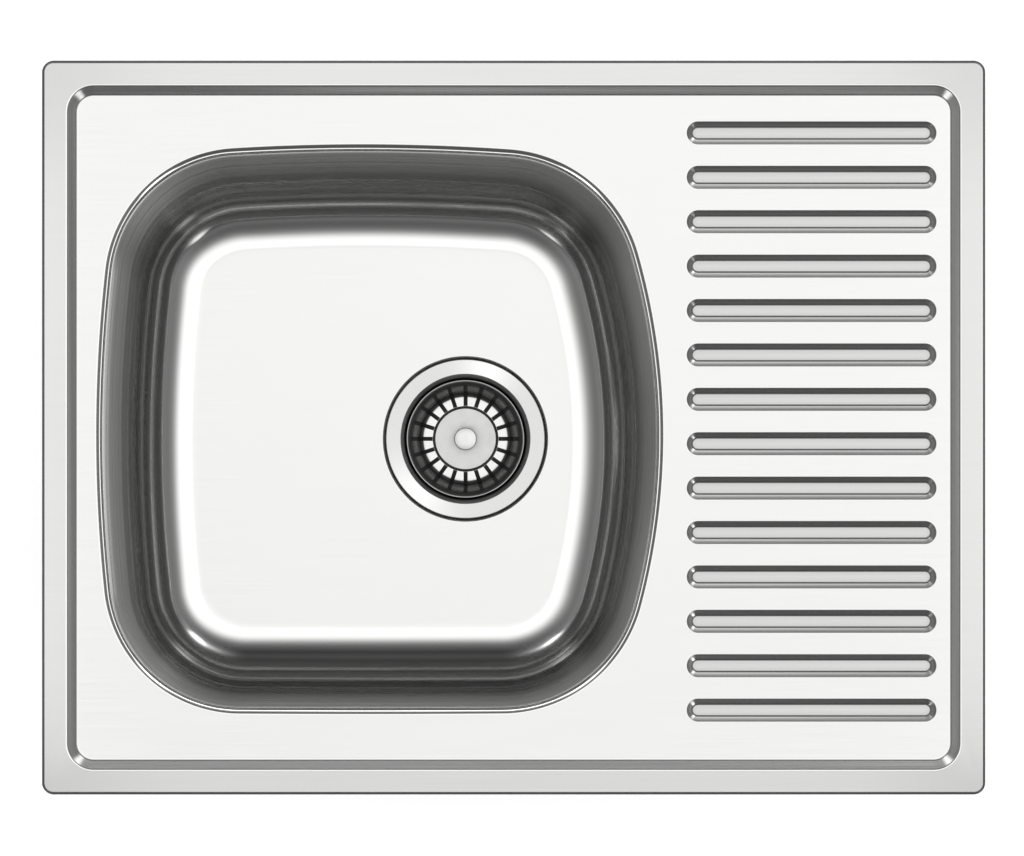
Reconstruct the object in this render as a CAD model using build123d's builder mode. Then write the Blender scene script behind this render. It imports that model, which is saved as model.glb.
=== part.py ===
from build123d import *
import os
from math import atan2, degrees, tan

# An inset kitchen sink with a grooved drainboard, its basket waste and its fixing clamps.
# Millimetres, +Z up. The origin is the middle of the outline, on the plane of the worktop
# that the rim rests on. +X runs to the drainboard and +Y to the back.

# ---- the pressed sheet ----
SHEET = 0.8
SINK_LENGTH = 640.0
SINK_WIDTH = 498.0
RIM_TOP = 4.0  # above the worktop
RIM_CORNER = 8.0
RIM_EDGE = 2.5  # radius where the rim turns down
RAMP_INSET = 16.0  # from the outside to where the rim starts to fall
RAMP_WIDTH = 8.4
RAMP_CORNER = 19.0
RIM_BEVEL = 1.0  # on the underside of the turned-down edge
FIELD_DROP = 5.0  # from the rim down to the recessed field
FIELD_TOP = RIM_TOP - FIELD_DROP
FIELD_UNDER = FIELD_TOP - SHEET
FIELD_LENGTH = SINK_LENGTH - 2 * (RAMP_INSET + RAMP_WIDTH)
FIELD_WIDTH = SINK_WIDTH - 2 * (RAMP_INSET + RAMP_WIDTH)

# ---- the bowl, by the sharp corners that its bends round off ----
BOWL_LEFT = -280.0
BOWL_RIGHT = 98.0
BOWL_FRONT = -190.8
BOWL_BACK = 188.7
BOWL_LEFT_BOW = 17.0  # how far each side stands out beyond its two corners
BOWL_RIGHT_BOW = 40.0
BOWL_BACK_BOW = 9.0
BOWL_FRONT_BOW = 1.0
BOWL_LEFT_CORNER = 89.0
BOWL_RIGHT_CORNER = 94.0
BOWL_DEPTH = 160.0
BOWL_DRAW_IN = 20.6  # how far the sides lean in on the way down
BOWL_FOOT_SHIFT = (-1.2, -6.8)  # the floor lies a little to the left and to the front
BOWL_EDGE = 7.0
BOWL_EDGE_BEVEL = 4.2  # on the underside of that edge
BOWL_FOOT = 42.0
FLOOR_TOP = FIELD_TOP - BOWL_DEPTH

# ---- the drainboard ----
GROOVES = 14
GROOVE_PITCH = 30.15
GROOVE_LENGTH = 169.8
GROOVE_WIDTH = 15.7
GROOVE_FLOOR = 7.5
GROOVE_DEPTH = 2.6
GROOVE_X = 202.3
GROOVE_Y = 4.1

# ---- the seat of the waste in the bowl's floor ----
DRAIN = (-34.0, -8.0)
SEAT_RADIUS = 58.2
SEAT_DEPTH = 3.5
SEAT_SLOPE = 2.4
DRAIN_HOLE = 44.6

# ---- what seals and quietens ----
STRIP_GAP = 1.4  # from the turned-down edge
STRIP_WIDTH = 7.0
PAD_LENGTH = 110.0
PAD_WIDTH = 180.0
PAD_THICKNESS = 2.0
PAD_CORNER = 8.0
PAD_X = -152.0

# ---- rails and clamps, in (outward, up) from the rail's outer face and the field's underside ----
RAIL_INSET = 1.0  # from the field's edge to the rail's outer face
RAIL_SHEET = 1.0
RAIL_FLANGE = 6.5
RAIL_DROP = 18.0
RAIL_BEND = 1.0
LONG_RAIL = 470.0
SHORT_RAIL = 330.0
SLOT_TOP = -6.1
SLOT_BOTTOM = -8.2
HOOK_SHEET = 2.0
HOOK_WIDTH = 14.0
HOOK_TAIL = (-3.2, -11.5)
HOOK_TONGUE = -6.2  # the top of the tongue that goes through the rail's slot
HOOK_FOOT = (14.5, -21.0)
SCREW_OUT = 8.5  # from the rail's outer face to the screw's axis
SCREW_RADIUS = 2.5
SCREW_FIT = 0.05
SCREW_TIP = -19.0
SCREW_HEAD = 4.6  # to a corner of the hexagon
HEXAGON = 6
SCREW_HEAD_HEIGHT = 4.0
SCREW_SLOT = 1.2
CLAW_SHEET = 2.5
CLAW_WIDTH = 18.0
CLAW_HEEL = (2.2, -41.0)
CLAW_UNDER = -46.25
CLAW_KNEE = 18.5
CLAW_TIP = (22.0, -40.0)
CLAW_NOTCH = 5.0
CLAW_HOLE = 2.7
LONG_CLAMPS = (-170.0, 170.0)
SHORT_CLAMPS = (0.0,)

# ---- the waste, in (radius, height above the bowl's floor) ----
FLANGE_SHEET = 0.8
BRIM_LIP = (56.4, -2.2)
BRIM_EDGE = (56.4, -0.3)
BRIM_HEEL = (45.8, -1.1)
CUP_MOUTH = (43.2, -3.6)
CUP_BEND = (42.4, -23.0)
CUP_FOOT = (38.4, -27.0)
CUP_OPENING = 29.0
HUB_RADIUS = 9.5
SPOKES = 6
SPOKE_WIDTH = 4.0
GASKET_INNER = 47.0
GASKET_OUTER = 55.0
WASTE_GASKET = 2.5
WASTE_GASKET_OUTER = 51.5
WASTE_BRIM = 52.0
WASTE_BRIM_THICKNESS = 3.0
WASTE_BORE = 45.2
WASTE_WALL = 2.6
WASTE_SHOULDER = -33.0
WASTE_THROAT = -48.0
WASTE_END = -84.0
OUTLET_RADIUS = 23.9  # over the crests of a G 1 1/2 male thread
OUTLET_BORE = 20.5
OUTLET_THREAD = 24.0
OUTLET_NECK = 0.6  # how far the neck above the thread is turned down
SPIDER_TOP = -33.5
SPIDER_HEIGHT = 10.0
SPIDER_ARMS = 3
SPIDER_ARM_WIDTH = 5.0
BOSS_RADIUS = 8.5
INSERT_RADIUS = 5.0
CENTRE_SCREW = 3.0
CENTRE_SCREW_FIT = 0.05
CENTRE_SCREW_END = -41.0
CENTRE_HEAD = 5.2
CENTRE_HEAD_HEIGHT = 3.0

# ---- the basket ----
BASKET_SHEET = 0.8
BASKET_RIM = (41.6, -4.0)
BASKET_MOUTH = (39.9, -4.0)
BASKET_BEND = (31.9, -17.0)
BASKET_FOOT = (29.8, -18.2)
BASKET_SLOTS = 20
SLOT_WIDTH = 2.9
SLOT_START = 23.4
SLOT_END = 38.2
DISC_RADIUS = 22.8
DISC_TOP_RADIUS = 21.3  # its edge slopes in from the foot to the top
DISC_HEIGHT = 2.2
DISC_FOOT = 0.4  # the upright part of its edge
KNOB_RADIUS = 8.0
KNOB_NECK = 3.6
KNOB_UNDER = 6.0  # from the disc up to the head's underside at the neck
KNOB_EDGE = (8.0, 10.6)  # bottom and top of the head's rim
KNOB_HEIGHT = 12.4
KNOB_SOCKET = 5.0
SEAL_RADIUS = 33.5
SEAL_NECK = 19.0
SEAL_NECK_HEIGHT = 2.0
SEAL_LIP = 1.9
SEAL_GAP = 0.1  # above the cup's floor
GUIDE_OUTER = 8.0
GUIDE_INNER = 5.6
GUIDE_TOP = 1.5
GUIDE_GAP = 0.3
RIVET_RADIUS = 1.6
RIVET_HEAD = (3.2, 1.4)

NEAR = 0.01  # two heights closer than this are the same

os.makedirs("parts", exist_ok=True)


def save(builder, label):
    """Label a finished piece and write it as one STEP."""
    builder.part.label = label
    export_step(builder.part, f"parts/{label}.step")


def bend_shift(rise, run, gap):
    """How far out a slope's foot and head move on a face that lies gap below the top one."""
    return gap * tan(atan2(rise, run) / 2)


def at_height(shapes, height):
    """The edges or faces whose middle lies at one height."""
    return shapes.filter_by_position(Axis.Z, height - NEAR, height + NEAR)


# ---- sink body ----
def bowl_plan(height, grow, shift=(0.0, 0.0)):
    """The bowl's plan at one height: four bowed sides with rounded corners."""
    left, right = BOWL_LEFT + BOWL_LEFT_BOW, BOWL_RIGHT - BOWL_RIGHT_BOW
    front, back = BOWL_FRONT + BOWL_FRONT_BOW, BOWL_BACK - BOWL_BACK_BOW
    middle_x, middle_y = (left + right) / 2, (front + back) / 2
    with BuildSketch(Plane.XY.offset(height)) as plan:
        with Locations(shift):
            with BuildSketch(mode=Mode.PRIVATE) as sides:
                with BuildLine():
                    ThreePointArc((right, front), (BOWL_RIGHT, middle_y), (right, back))
                    ThreePointArc((right, back), (middle_x, BOWL_BACK), (left, back))
                    ThreePointArc((left, back), (BOWL_LEFT, middle_y), (left, front))
                    ThreePointArc((left, front), (middle_x, BOWL_FRONT), (right, front))
                make_face()
                fillet(sides.vertices().group_by(Axis.X)[-1], BOWL_RIGHT_CORNER)
                fillet(sides.vertices().sort_by(Axis.X)[:2], BOWL_LEFT_CORNER)
                offset(amount=grow)
            add(sides.sketch)
    return plan.sketch


def space_under(gap):
    """All that lies under the sheet's top face, or under the face that lies gap below it."""
    ramp_shift = bend_shift(FIELD_DROP, RAMP_WIDTH, gap)
    bowl_shift = bend_shift(BOWL_DEPTH, BOWL_DRAW_IN, gap)
    seat_shift = bend_shift(SEAT_DEPTH, SEAT_SLOPE, gap)
    groove_slope = (GROOVE_WIDTH - GROOVE_FLOOR) / 2
    groove_shift = bend_shift(GROOVE_DEPTH, groove_slope, gap)
    with BuildPart() as under:
        with BuildSketch(Plane.XY.offset(-gap)):
            RectangleRounded(SINK_LENGTH - 2 * gap, SINK_WIDTH - 2 * gap, RIM_CORNER - gap)
        extrude(amount=RIM_TOP)
        turned_down = under.faces().sort_by(Axis.Z)[-1].edges()
        if gap == 0:
            fillet(turned_down, RIM_EDGE)
        else:
            chamfer(turned_down, RIM_BEVEL)
        with BuildSketch(Plane.XY):
            Rectangle(FIELD_LENGTH + RAMP_INSET + 2 * gap, FIELD_WIDTH + RAMP_INSET + 2 * gap)
        extrude(amount=FLOOR_TOP - 4 * SEAT_DEPTH - gap)

        # the recessed field
        with BuildSketch(Plane.XY.offset(RIM_TOP - gap)):
            RectangleRounded(
                SINK_LENGTH - 2 * (RAMP_INSET - ramp_shift),
                SINK_WIDTH - 2 * (RAMP_INSET - ramp_shift),
                RAMP_CORNER + ramp_shift,
            )
        extrude(
            amount=-FIELD_DROP,
            taper=degrees(atan2(RAMP_WIDTH, FIELD_DROP)),
            mode=Mode.SUBTRACT,
        )

        # the bowl
        mouth = bowl_plan(FIELD_TOP - gap, bowl_shift)
        foot = bowl_plan(FLOOR_TOP - gap, bowl_shift - BOWL_DRAW_IN, BOWL_FOOT_SHIFT)
        loft([mouth, foot], ruled=True, mode=Mode.SUBTRACT)
        mouth_edges = at_height(under.edges(Select.LAST), FIELD_TOP - gap)
        fillet(at_height(under.edges(), FLOOR_TOP - gap), BOWL_FOOT + gap)
        if gap == 0:
            fillet(mouth_edges, BOWL_EDGE)
        else:
            chamfer(mouth_edges, BOWL_EDGE_BEVEL)

        # the seat of the waste
        with BuildSketch(Plane.XY.offset(FLOOR_TOP - gap)):
            with Locations(DRAIN):
                Circle(SEAT_RADIUS + seat_shift)
        extrude(
            amount=-SEAT_DEPTH,
            taper=degrees(atan2(SEAT_SLOPE, SEAT_DEPTH)),
            mode=Mode.SUBTRACT,
        )

        # the grooves
        with BuildSketch(Plane.XY.offset(FIELD_TOP - gap)):
            with Locations((GROOVE_X, GROOVE_Y)):
                with GridLocations(0, GROOVE_PITCH, 1, GROOVES):
                    if gap == 0:
                        SlotOverall(GROOVE_LENGTH, GROOVE_WIDTH)
                    else:
                        Rectangle(GROOVE_LENGTH + 2 * groove_shift, GROOVE_WIDTH + 2 * groove_shift)
        extrude(
            amount=-GROOVE_DEPTH,
            taper=degrees(atan2(groove_slope, GROOVE_DEPTH)),
            mode=Mode.SUBTRACT,
        )
    return under.part


with BuildPart() as sink_body:
    add(space_under(0.0))
    add(space_under(SHEET), mode=Mode.SUBTRACT)
    with Locations((DRAIN[0], DRAIN[1], FLOOR_TOP)):
        Cylinder(DRAIN_HOLE, 4 * SEAT_DEPTH, mode=Mode.SUBTRACT)
save(sink_body, "sink_body")

# ---- sealing strip and sound pad ----
with BuildPart() as sealing_strip:
    outer_inset = SHEET + STRIP_GAP
    inner_inset = outer_inset + STRIP_WIDTH
    with BuildSketch():
        RectangleRounded(
            SINK_LENGTH - 2 * outer_inset, SINK_WIDTH - 2 * outer_inset, RIM_CORNER - outer_inset
        )
        Rectangle(
            SINK_LENGTH - 2 * inner_inset, SINK_WIDTH - 2 * inner_inset, mode=Mode.SUBTRACT
        )
    extrude(amount=RIM_TOP - SHEET)
save(sealing_strip, "sealing_strip")

with BuildPart() as sound_pad:
    with BuildSketch(Plane.XY.offset(FLOOR_TOP - SHEET)):
        with Locations((PAD_X, DRAIN[1])):
            chamfer(Rectangle(PAD_LENGTH, PAD_WIDTH).vertices(), PAD_CORNER)
    extrude(amount=-PAD_THICKNESS)
save(sound_pad, "sound_pad")


# ---- rails ----
def station(turn, along):
    """A plane square to one side of the sink: x points outward and y up, from the rail's face."""
    reach = (FIELD_LENGTH if turn % 180 == 0 else FIELD_WIDTH) / 2 - RAIL_INSET
    frame = Plane.XY.rotated((0, 0, turn))
    origin = frame.from_local_coords((reach, along, FIELD_UNDER))
    return Plane(origin=origin, x_dir=frame.x_dir, z_dir=-frame.y_dir)


def screw_plane(turn, along, height):
    """A level plane on a clamp screw's axis."""
    return Plane(origin=station(turn, along).from_local_coords((SCREW_OUT, height, 0)))


RAILS = {
    "rail_right": (0, SHORT_RAIL, SHORT_CLAMPS),
    "rail_back": (90, LONG_RAIL, LONG_CLAMPS),
    "rail_left": (180, SHORT_RAIL, SHORT_CLAMPS),
    "rail_front": (270, LONG_RAIL, LONG_CLAMPS),
}
for name, (turn, length, clamps) in RAILS.items():
    with BuildPart() as rail:
        with BuildSketch(station(turn, 0)):
            with BuildLine():
                FilletPolyline(
                    (-RAIL_FLANGE, 0), (0, 0), (0, -RAIL_DROP), radius=RAIL_BEND + RAIL_SHEET
                )
                offset(amount=RAIL_SHEET, side=Side.RIGHT)
            make_face()
        extrude(amount=length / 2, both=True)
        for along in clamps:
            with BuildSketch(station(turn, along)):
                with Locations((0, (SLOT_TOP + SLOT_BOTTOM) / 2)):
                    Rectangle(4 * RAIL_SHEET, SLOT_TOP - SLOT_BOTTOM)
            extrude(amount=HOOK_WIDTH / 2 + RAIL_SHEET, both=True, mode=Mode.SUBTRACT)
    save(rail, name)


# ---- clamps ----
def clamp(number, turn, along):
    """One clamp: the hook in its rail, the screw below it and the claw on the screw."""
    with BuildPart() as hook:
        with BuildSketch(station(turn, along)):
            with BuildLine():
                Polyline(
                    HOOK_TAIL,
                    (HOOK_TAIL[0], HOOK_TONGUE),
                    (HOOK_SHEET, HOOK_TONGUE),
                    (HOOK_SHEET, HOOK_FOOT[1]),
                    HOOK_FOOT,
                )
                offset(amount=HOOK_SHEET, side=Side.RIGHT, kind=Kind.INTERSECTION)
            make_face()
        extrude(amount=HOOK_WIDTH / 2, both=True)
        with BuildSketch(screw_plane(turn, along, HOOK_FOOT[1])):
            Circle(SCREW_RADIUS + SCREW_FIT)
        extrude(amount=-HOOK_SHEET, mode=Mode.SUBTRACT)
    save(hook, f"clamp_hook_{number}")

    with BuildPart() as claw:
        with BuildSketch(station(turn, along)):
            with BuildLine():
                Polyline(
                    CLAW_HEEL,
                    (CLAW_HEEL[0], CLAW_UNDER),
                    (CLAW_KNEE, CLAW_UNDER),
                    CLAW_TIP,
                )
                offset(amount=CLAW_SHEET, side=Side.LEFT, kind=Kind.INTERSECTION)
            make_face()
        extrude(amount=CLAW_WIDTH / 2, both=True)
        with BuildSketch(screw_plane(turn, along, CLAW_UNDER)):
            Circle(CLAW_HOLE)
        extrude(amount=CLAW_SHEET, mode=Mode.SUBTRACT)
        with BuildSketch(station(turn, along)):
            with Locations(CLAW_TIP):
                Rectangle(3 * CLAW_SHEET, CLAW_SHEET)
        extrude(amount=CLAW_NOTCH / 2, both=True, mode=Mode.SUBTRACT)
    save(claw, f"clamp_claw_{number}")

    with BuildPart() as screw:
        with BuildSketch(screw_plane(turn, along, CLAW_UNDER)):
            Circle(SCREW_RADIUS)
        extrude(amount=SCREW_TIP - CLAW_UNDER)
        with BuildSketch(screw_plane(turn, along, CLAW_UNDER)):
            RegularPolygon(SCREW_HEAD, HEXAGON)
        extrude(amount=-SCREW_HEAD_HEIGHT)
        with BuildSketch(screw_plane(turn, along, CLAW_UNDER - SCREW_HEAD_HEIGHT)):
            Rectangle(3 * SCREW_HEAD, SCREW_SLOT)
        extrude(amount=SCREW_SLOT, mode=Mode.SUBTRACT)
    save(screw, f"clamp_screw_{number}")


STATIONS = [(turn, along) for turn, _, clamps in RAILS.values() for along in clamps]
for number, (turn, along) in enumerate(STATIONS, start=1):
    clamp(number, turn, along)

# ---- waste: all of it turns about the drain's axis ----
DRAIN_POINT = (DRAIN[0], DRAIN[1], FLOOR_TOP)
DRAIN_AXIS = Axis(DRAIN_POINT, (0, 0, 1))
DRAIN_SECTION = Plane(origin=DRAIN_POINT, x_dir=(1, 0, 0), z_dir=(0, -1, 0))
DRAIN_PLAN = Plane(origin=DRAIN_POINT)


def sheet_section(points, thickness):
    """The section of a pressed sheet whose upper face runs inward through the points."""
    with BuildSketch(DRAIN_SECTION) as section:
        with BuildLine():
            Polyline(*points)
            offset(amount=thickness, side=Side.LEFT, kind=Kind.INTERSECTION)
        make_face()
    return section.sketch


def solid_section(points):
    """The section of a turned piece, by the corners of its outline."""
    with BuildSketch(DRAIN_SECTION) as section:
        with BuildLine():
            Polyline(*points, close=True)
        make_face()
    return section.sketch


with BuildPart() as strainer_flange:
    brim = [BRIM_LIP, BRIM_EDGE, BRIM_HEEL]
    cup = [CUP_MOUTH, CUP_BEND, CUP_FOOT, (CUP_OPENING, CUP_FOOT[1])]
    revolve(sheet_section(brim + cup, FLANGE_SHEET), axis=DRAIN_AXIS)
    with BuildSketch(DRAIN_PLAN.offset(CUP_FOOT[1])):
        Circle(HUB_RADIUS)
        with PolarLocations(CUP_OPENING / 2, SPOKES):
            Rectangle(CUP_OPENING + SPOKE_WIDTH, SPOKE_WIDTH)
        Circle(CENTRE_SCREW + 2 * CENTRE_SCREW_FIT, mode=Mode.SUBTRACT)
    extrude(amount=-FLANGE_SHEET)
save(strainer_flange, "strainer_flange")


def brim_under(radius):
    """The height of the brim's underside at a radius."""
    slope = (BRIM_EDGE[1] - BRIM_HEEL[1]) / (BRIM_EDGE[0] - BRIM_HEEL[0])
    return BRIM_HEEL[1] + slope * (radius - BRIM_HEEL[0]) - FLANGE_SHEET * (1 + slope**2) ** 0.5


with BuildPart() as flange_gasket:
    outline = [
        (GASKET_INNER, -SEAT_DEPTH),
        (GASKET_OUTER, -SEAT_DEPTH),
        (GASKET_OUTER, brim_under(GASKET_OUTER)),
        (GASKET_INNER, brim_under(GASKET_INNER)),
    ]
    revolve(solid_section(outline), axis=DRAIN_AXIS)
save(flange_gasket, "flange_gasket")

SEAT_UNDER = -SEAT_DEPTH - SHEET
WASTE_TOP = SEAT_UNDER - WASTE_GASKET
with BuildPart() as waste_gasket:
    with BuildSketch(DRAIN_PLAN.offset(SEAT_UNDER)):
        Circle(WASTE_GASKET_OUTER)
        Circle(WASTE_BORE, mode=Mode.SUBTRACT)
    extrude(amount=-WASTE_GASKET)
save(waste_gasket, "waste_gasket")

with BuildPart() as waste_cavity:
    outline = [
        (0, WASTE_TOP),
        (WASTE_BORE, WASTE_TOP),
        (WASTE_BORE, WASTE_SHOULDER),
        (OUTLET_BORE, WASTE_THROAT),
        (OUTLET_BORE, WASTE_END),
        (0, WASTE_END),
    ]
    revolve(solid_section(outline), axis=DRAIN_AXIS)
    with BuildSketch(DRAIN_PLAN.offset(SPIDER_TOP)):
        Circle(BOSS_RADIUS)
        with PolarLocations(WASTE_BORE / 2, SPIDER_ARMS, start_angle=90):
            Rectangle(WASTE_BORE, SPIDER_ARM_WIDTH)
        Circle(INSERT_RADIUS, mode=Mode.SUBTRACT)
    extrude(amount=-SPIDER_HEIGHT, mode=Mode.SUBTRACT)

with BuildPart() as waste_body:
    outline = [
        (0, WASTE_TOP),
        (WASTE_BRIM, WASTE_TOP),
        (WASTE_BRIM, WASTE_TOP - WASTE_BRIM_THICKNESS),
        (WASTE_BORE + WASTE_WALL, WASTE_TOP - WASTE_BRIM_THICKNESS),
        (WASTE_BORE + WASTE_WALL, WASTE_SHOULDER - WASTE_WALL / 2),
        (OUTLET_RADIUS - OUTLET_NECK, WASTE_THROAT - WASTE_WALL / 2),
        (OUTLET_RADIUS - OUTLET_NECK, WASTE_END + OUTLET_THREAD),
        (OUTLET_RADIUS, WASTE_END + OUTLET_THREAD),
        (OUTLET_RADIUS, WASTE_END),
        (0, WASTE_END),
    ]
    revolve(solid_section(outline), axis=DRAIN_AXIS)
    add(waste_cavity.part, mode=Mode.SUBTRACT)
save(waste_body, "waste_body")

with BuildPart() as thread_insert:
    with BuildSketch(DRAIN_PLAN.offset(SPIDER_TOP)):
        Circle(INSERT_RADIUS)
        Circle(CENTRE_SCREW + CENTRE_SCREW_FIT, mode=Mode.SUBTRACT)
    extrude(amount=-SPIDER_HEIGHT)
save(thread_insert, "thread_insert")

with BuildPart() as centre_screw:
    with BuildSketch(DRAIN_PLAN.offset(CUP_FOOT[1])):
        Circle(CENTRE_HEAD)
    extrude(amount=CENTRE_HEAD_HEIGHT)
    with BuildSketch(DRAIN_PLAN.offset(CUP_FOOT[1])):
        Circle(CENTRE_SCREW)
    extrude(amount=CENTRE_SCREW_END - CUP_FOOT[1])
    with BuildSketch(DRAIN_PLAN.offset(CUP_FOOT[1] + CENTRE_HEAD_HEIGHT)):
        Rectangle(3 * CENTRE_HEAD, SCREW_SLOT)
    extrude(amount=-SCREW_SLOT, mode=Mode.SUBTRACT)
save(centre_screw, "centre_screw")

# ---- basket ----
BASKET_UNDER = BASKET_FOOT[1] - BASKET_SHEET
with BuildPart() as basket_strainer:
    floor_middle = (RIVET_RADIUS, BASKET_FOOT[1])
    pressing = [BASKET_RIM, BASKET_MOUTH, BASKET_BEND, BASKET_FOOT, floor_middle]
    revolve(sheet_section(pressing, BASKET_SHEET), axis=DRAIN_AXIS)
    with BuildSketch(DRAIN_PLAN):
        with PolarLocations((SLOT_START + SLOT_END) / 2, BASKET_SLOTS, start_angle=90):
            Rectangle(SLOT_END - SLOT_START, SLOT_WIDTH)
    extrude(amount=2 * BASKET_UNDER, mode=Mode.SUBTRACT)
save(basket_strainer, "basket_strainer")

DISC_TOP = BASKET_FOOT[1] + DISC_HEIGHT
with BuildPart() as basket_disc:
    outline = [
        (DISC_RADIUS, BASKET_FOOT[1]),
        (DISC_RADIUS, BASKET_FOOT[1] + DISC_FOOT),
        (DISC_TOP_RADIUS, DISC_TOP),
        (RIVET_RADIUS, DISC_TOP),
        (RIVET_RADIUS, DISC_TOP - BASKET_SHEET),
        (DISC_TOP_RADIUS - BASKET_SHEET / 2, DISC_TOP - BASKET_SHEET),
        (DISC_RADIUS - BASKET_SHEET, BASKET_FOOT[1]),
    ]
    revolve(solid_section(outline), axis=DRAIN_AXIS)
save(basket_disc, "basket_disc")

with BuildPart() as basket_knob:
    crown = KNOB_HEIGHT - KNOB_EDGE[1]
    with BuildSketch(DRAIN_SECTION):
        with BuildLine():
            Polyline(
                (0, DISC_TOP + KNOB_HEIGHT),
                (0, DISC_TOP),
                (KNOB_NECK, DISC_TOP),
                (KNOB_NECK, DISC_TOP + KNOB_UNDER),
                (KNOB_RADIUS, DISC_TOP + KNOB_EDGE[0]),
                (KNOB_RADIUS, DISC_TOP + KNOB_EDGE[1]),
            )
            RadiusArc(
                (0, DISC_TOP + KNOB_HEIGHT),
                (KNOB_RADIUS, DISC_TOP + KNOB_EDGE[1]),
                radius=(KNOB_RADIUS**2 + crown**2) / (2 * crown),
            )
        make_face()
    revolve(axis=DRAIN_AXIS)
    with BuildSketch(DRAIN_PLAN.offset(DISC_TOP)):
        Circle(RIVET_RADIUS)
    extrude(amount=KNOB_SOCKET, mode=Mode.SUBTRACT)
save(basket_knob, "basket_knob")

SEAL_FOOT = CUP_FOOT[1] + SEAL_GAP
with BuildPart() as basket_seal:
    outline = [
        (GUIDE_OUTER, BASKET_UNDER),
        (SEAL_NECK, BASKET_UNDER),
        (SEAL_NECK, BASKET_UNDER - SEAL_NECK_HEIGHT),
        (SEAL_RADIUS, SEAL_FOOT + SEAL_LIP),
        (SEAL_RADIUS, SEAL_FOOT),
        (GUIDE_OUTER, SEAL_FOOT),
    ]
    revolve(solid_section(outline), axis=DRAIN_AXIS)
save(basket_seal, "basket_seal")

with BuildPart() as basket_guide:
    outline = [
        (RIVET_RADIUS, BASKET_UNDER),
        (GUIDE_OUTER, BASKET_UNDER),
        (GUIDE_OUTER, CUP_FOOT[1] + GUIDE_GAP),
        (GUIDE_INNER, CUP_FOOT[1] + GUIDE_GAP),
        (GUIDE_INNER, BASKET_UNDER - GUIDE_TOP),
        (RIVET_RADIUS, BASKET_UNDER - GUIDE_TOP),
    ]
    revolve(solid_section(outline), axis=DRAIN_AXIS)
save(basket_guide, "basket_guide")

with BuildPart() as basket_rivet:
    rivet_foot = BASKET_UNDER - GUIDE_TOP
    outline = [
        (0, DISC_TOP + KNOB_SOCKET),
        (RIVET_RADIUS, DISC_TOP + KNOB_SOCKET),
        (RIVET_RADIUS, rivet_foot),
        (RIVET_HEAD[0], rivet_foot),
        (RIVET_HEAD[0], rivet_foot - RIVET_HEAD[1]),
        (0, rivet_foot - RIVET_HEAD[1]),
    ]
    revolve(solid_section(outline), axis=DRAIN_AXIS)
save(basket_rivet, "basket_rivet")
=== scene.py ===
import math
import bpy
import numpy as np
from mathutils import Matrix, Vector
from mathutils.geometry import delaunay_2d_cdt


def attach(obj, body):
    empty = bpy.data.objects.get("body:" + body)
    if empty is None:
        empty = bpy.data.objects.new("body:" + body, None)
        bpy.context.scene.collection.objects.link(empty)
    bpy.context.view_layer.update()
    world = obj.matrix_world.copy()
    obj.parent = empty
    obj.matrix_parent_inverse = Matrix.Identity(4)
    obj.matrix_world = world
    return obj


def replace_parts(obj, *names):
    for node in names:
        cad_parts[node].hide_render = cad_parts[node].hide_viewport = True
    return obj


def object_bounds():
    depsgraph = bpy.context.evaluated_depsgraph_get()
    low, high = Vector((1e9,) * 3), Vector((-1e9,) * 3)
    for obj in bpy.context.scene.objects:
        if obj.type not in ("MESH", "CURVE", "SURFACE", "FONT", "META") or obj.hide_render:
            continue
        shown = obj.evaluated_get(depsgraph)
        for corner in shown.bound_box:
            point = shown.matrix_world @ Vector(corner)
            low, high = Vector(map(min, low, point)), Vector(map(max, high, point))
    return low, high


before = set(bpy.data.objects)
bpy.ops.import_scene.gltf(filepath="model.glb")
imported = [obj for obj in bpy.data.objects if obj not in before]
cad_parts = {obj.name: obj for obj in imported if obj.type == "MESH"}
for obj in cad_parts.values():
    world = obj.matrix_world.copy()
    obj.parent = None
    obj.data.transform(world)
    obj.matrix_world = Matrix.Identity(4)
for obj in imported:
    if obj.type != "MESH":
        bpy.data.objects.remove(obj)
cad_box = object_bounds()

MM = 0.001
SAME_POINT = 1e-6

# ---- the pressed sheet, in millimetres ----
SHEET = 0.8
HALF_LENGTH = 320.0
HALF_WIDTH = 249.0
RIM_TOP = 4.0
RIM_CORNER = 8.0
RIM_EDGE = 2.5
RIM_BAND = 4.8  # how far inward the strip runs that is made with the edge
RAMP_INSET = 16.0
RAMP_WIDTH = 8.4
RAMP_CORNER = 19.0
RAMP_REACH = 1.0  # how far the bends at the ramp's head and foot reach
RAMP_BEND = 3.0
RAMP_STRIP = 0.5  # how far its section runs over the flats beside it
FIELD_TOP = -1.0

# painted shade and highlight on the steel, by height on the ramp, and a painted dark reflection on the turned
# edge by how far it looks up
RAMP_PAINTED_SHADE = [(-1.0, 1.0), (-0.8, 0.6), (0.0, 1.0), (3.0, 1.0), (3.7, 0.7), (3.9, 1.0), (4.0, 1.0)]
RIM_EDGE_PAINTED_SHADE = [(0, 0.10), (0.8, 0.14), (0.93, 0.62), (0.99, 1.0)]
RIM_PAINTED_SHADE = {"sides": 0.84, "front": 0.12, "corner": 0.15}  # painted shade on the rim: its level, and what the front and the corners lose
RIM_SHADE_REACH = 70.0
RIM_SLACK = 0.02  # how near its top a point still has the rim's painted shade

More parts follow.
